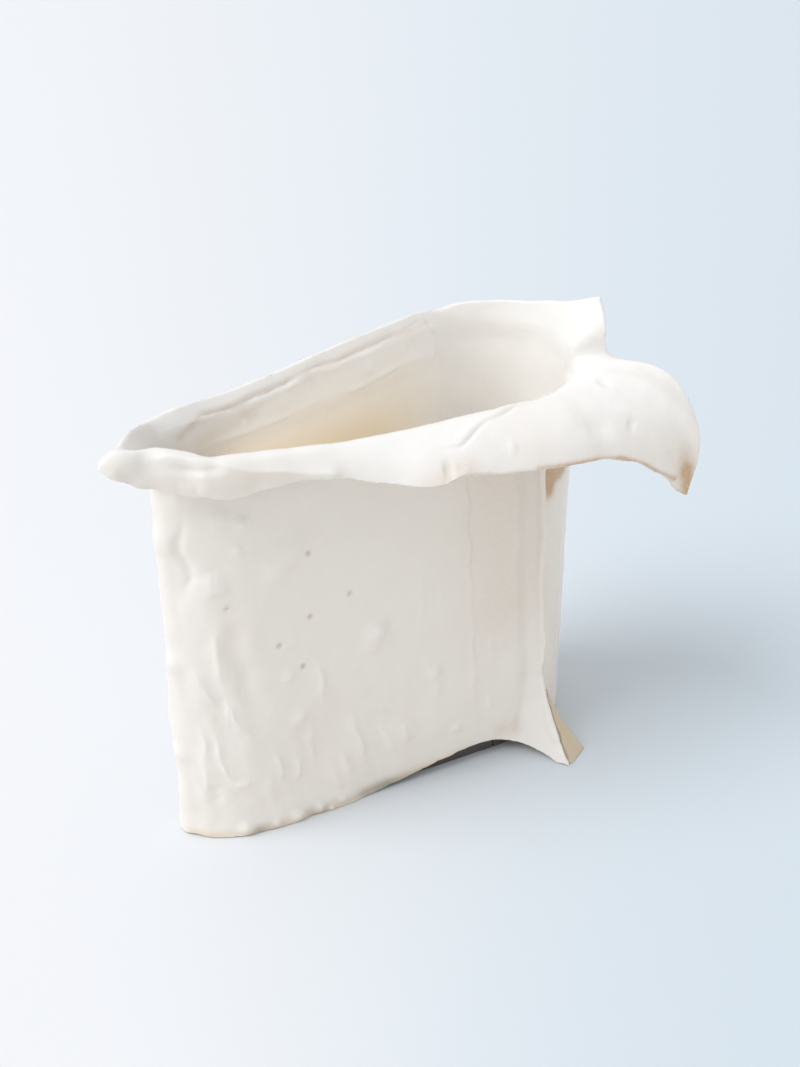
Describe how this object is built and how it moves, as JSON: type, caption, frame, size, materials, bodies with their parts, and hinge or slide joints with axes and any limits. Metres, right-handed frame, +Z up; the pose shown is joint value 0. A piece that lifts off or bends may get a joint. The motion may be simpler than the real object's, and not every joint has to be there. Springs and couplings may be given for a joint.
{
  "type": "pillow vase",
  "caption": "Slab-built white glazed porcelain vase: wedge-shaped body, folded rim with a pinched beak and a drooping wing, drawn-out corner foot. Holds cut flowers.",
  "frame": {"origin": "on the underside of the base slab, 35 mm behind the front face and 70.5 mm right of the front left corner", "axes": "+X along the front wall towards the half-round end and the wing, +Y to the back, +Z up"},
  "size_m": [0.2359, 0.1044, 0.1861],
  "materials": {
    "white_glaze": "glossy white glaze, warm at thin edges",
    "cream_glaze": "glossy cream glaze pooled inside",
    "tan_clay": "thinly glazed tan clay",
    "bare_porcelain": "bare, matt, slightly rough"
  },
  "bodies": {
    "root": {"base_slab": "bare_porcelain", "front_slab": "white_glaze", "corner_panel": "white_glaze", "foot_wedge": "tan_clay", "end_slab": "white_glaze", "back_slab": "white_glaze", "nose_strip": "white_glaze", "front_lip": "white_glaze", "wing_lip": "white_glaze", "end_collar": "white_glaze", "back_collar": "white_glaze", "pinched_tip": "white_glaze", "front_base_coil": "cream_glaze", "back_base_coil": "cream_glaze", "end_base_coil": "cream_glaze", "nose_base_coil": "cream_glaze", "corner_coil": "cream_glaze"}
  },
  "joints": []
}
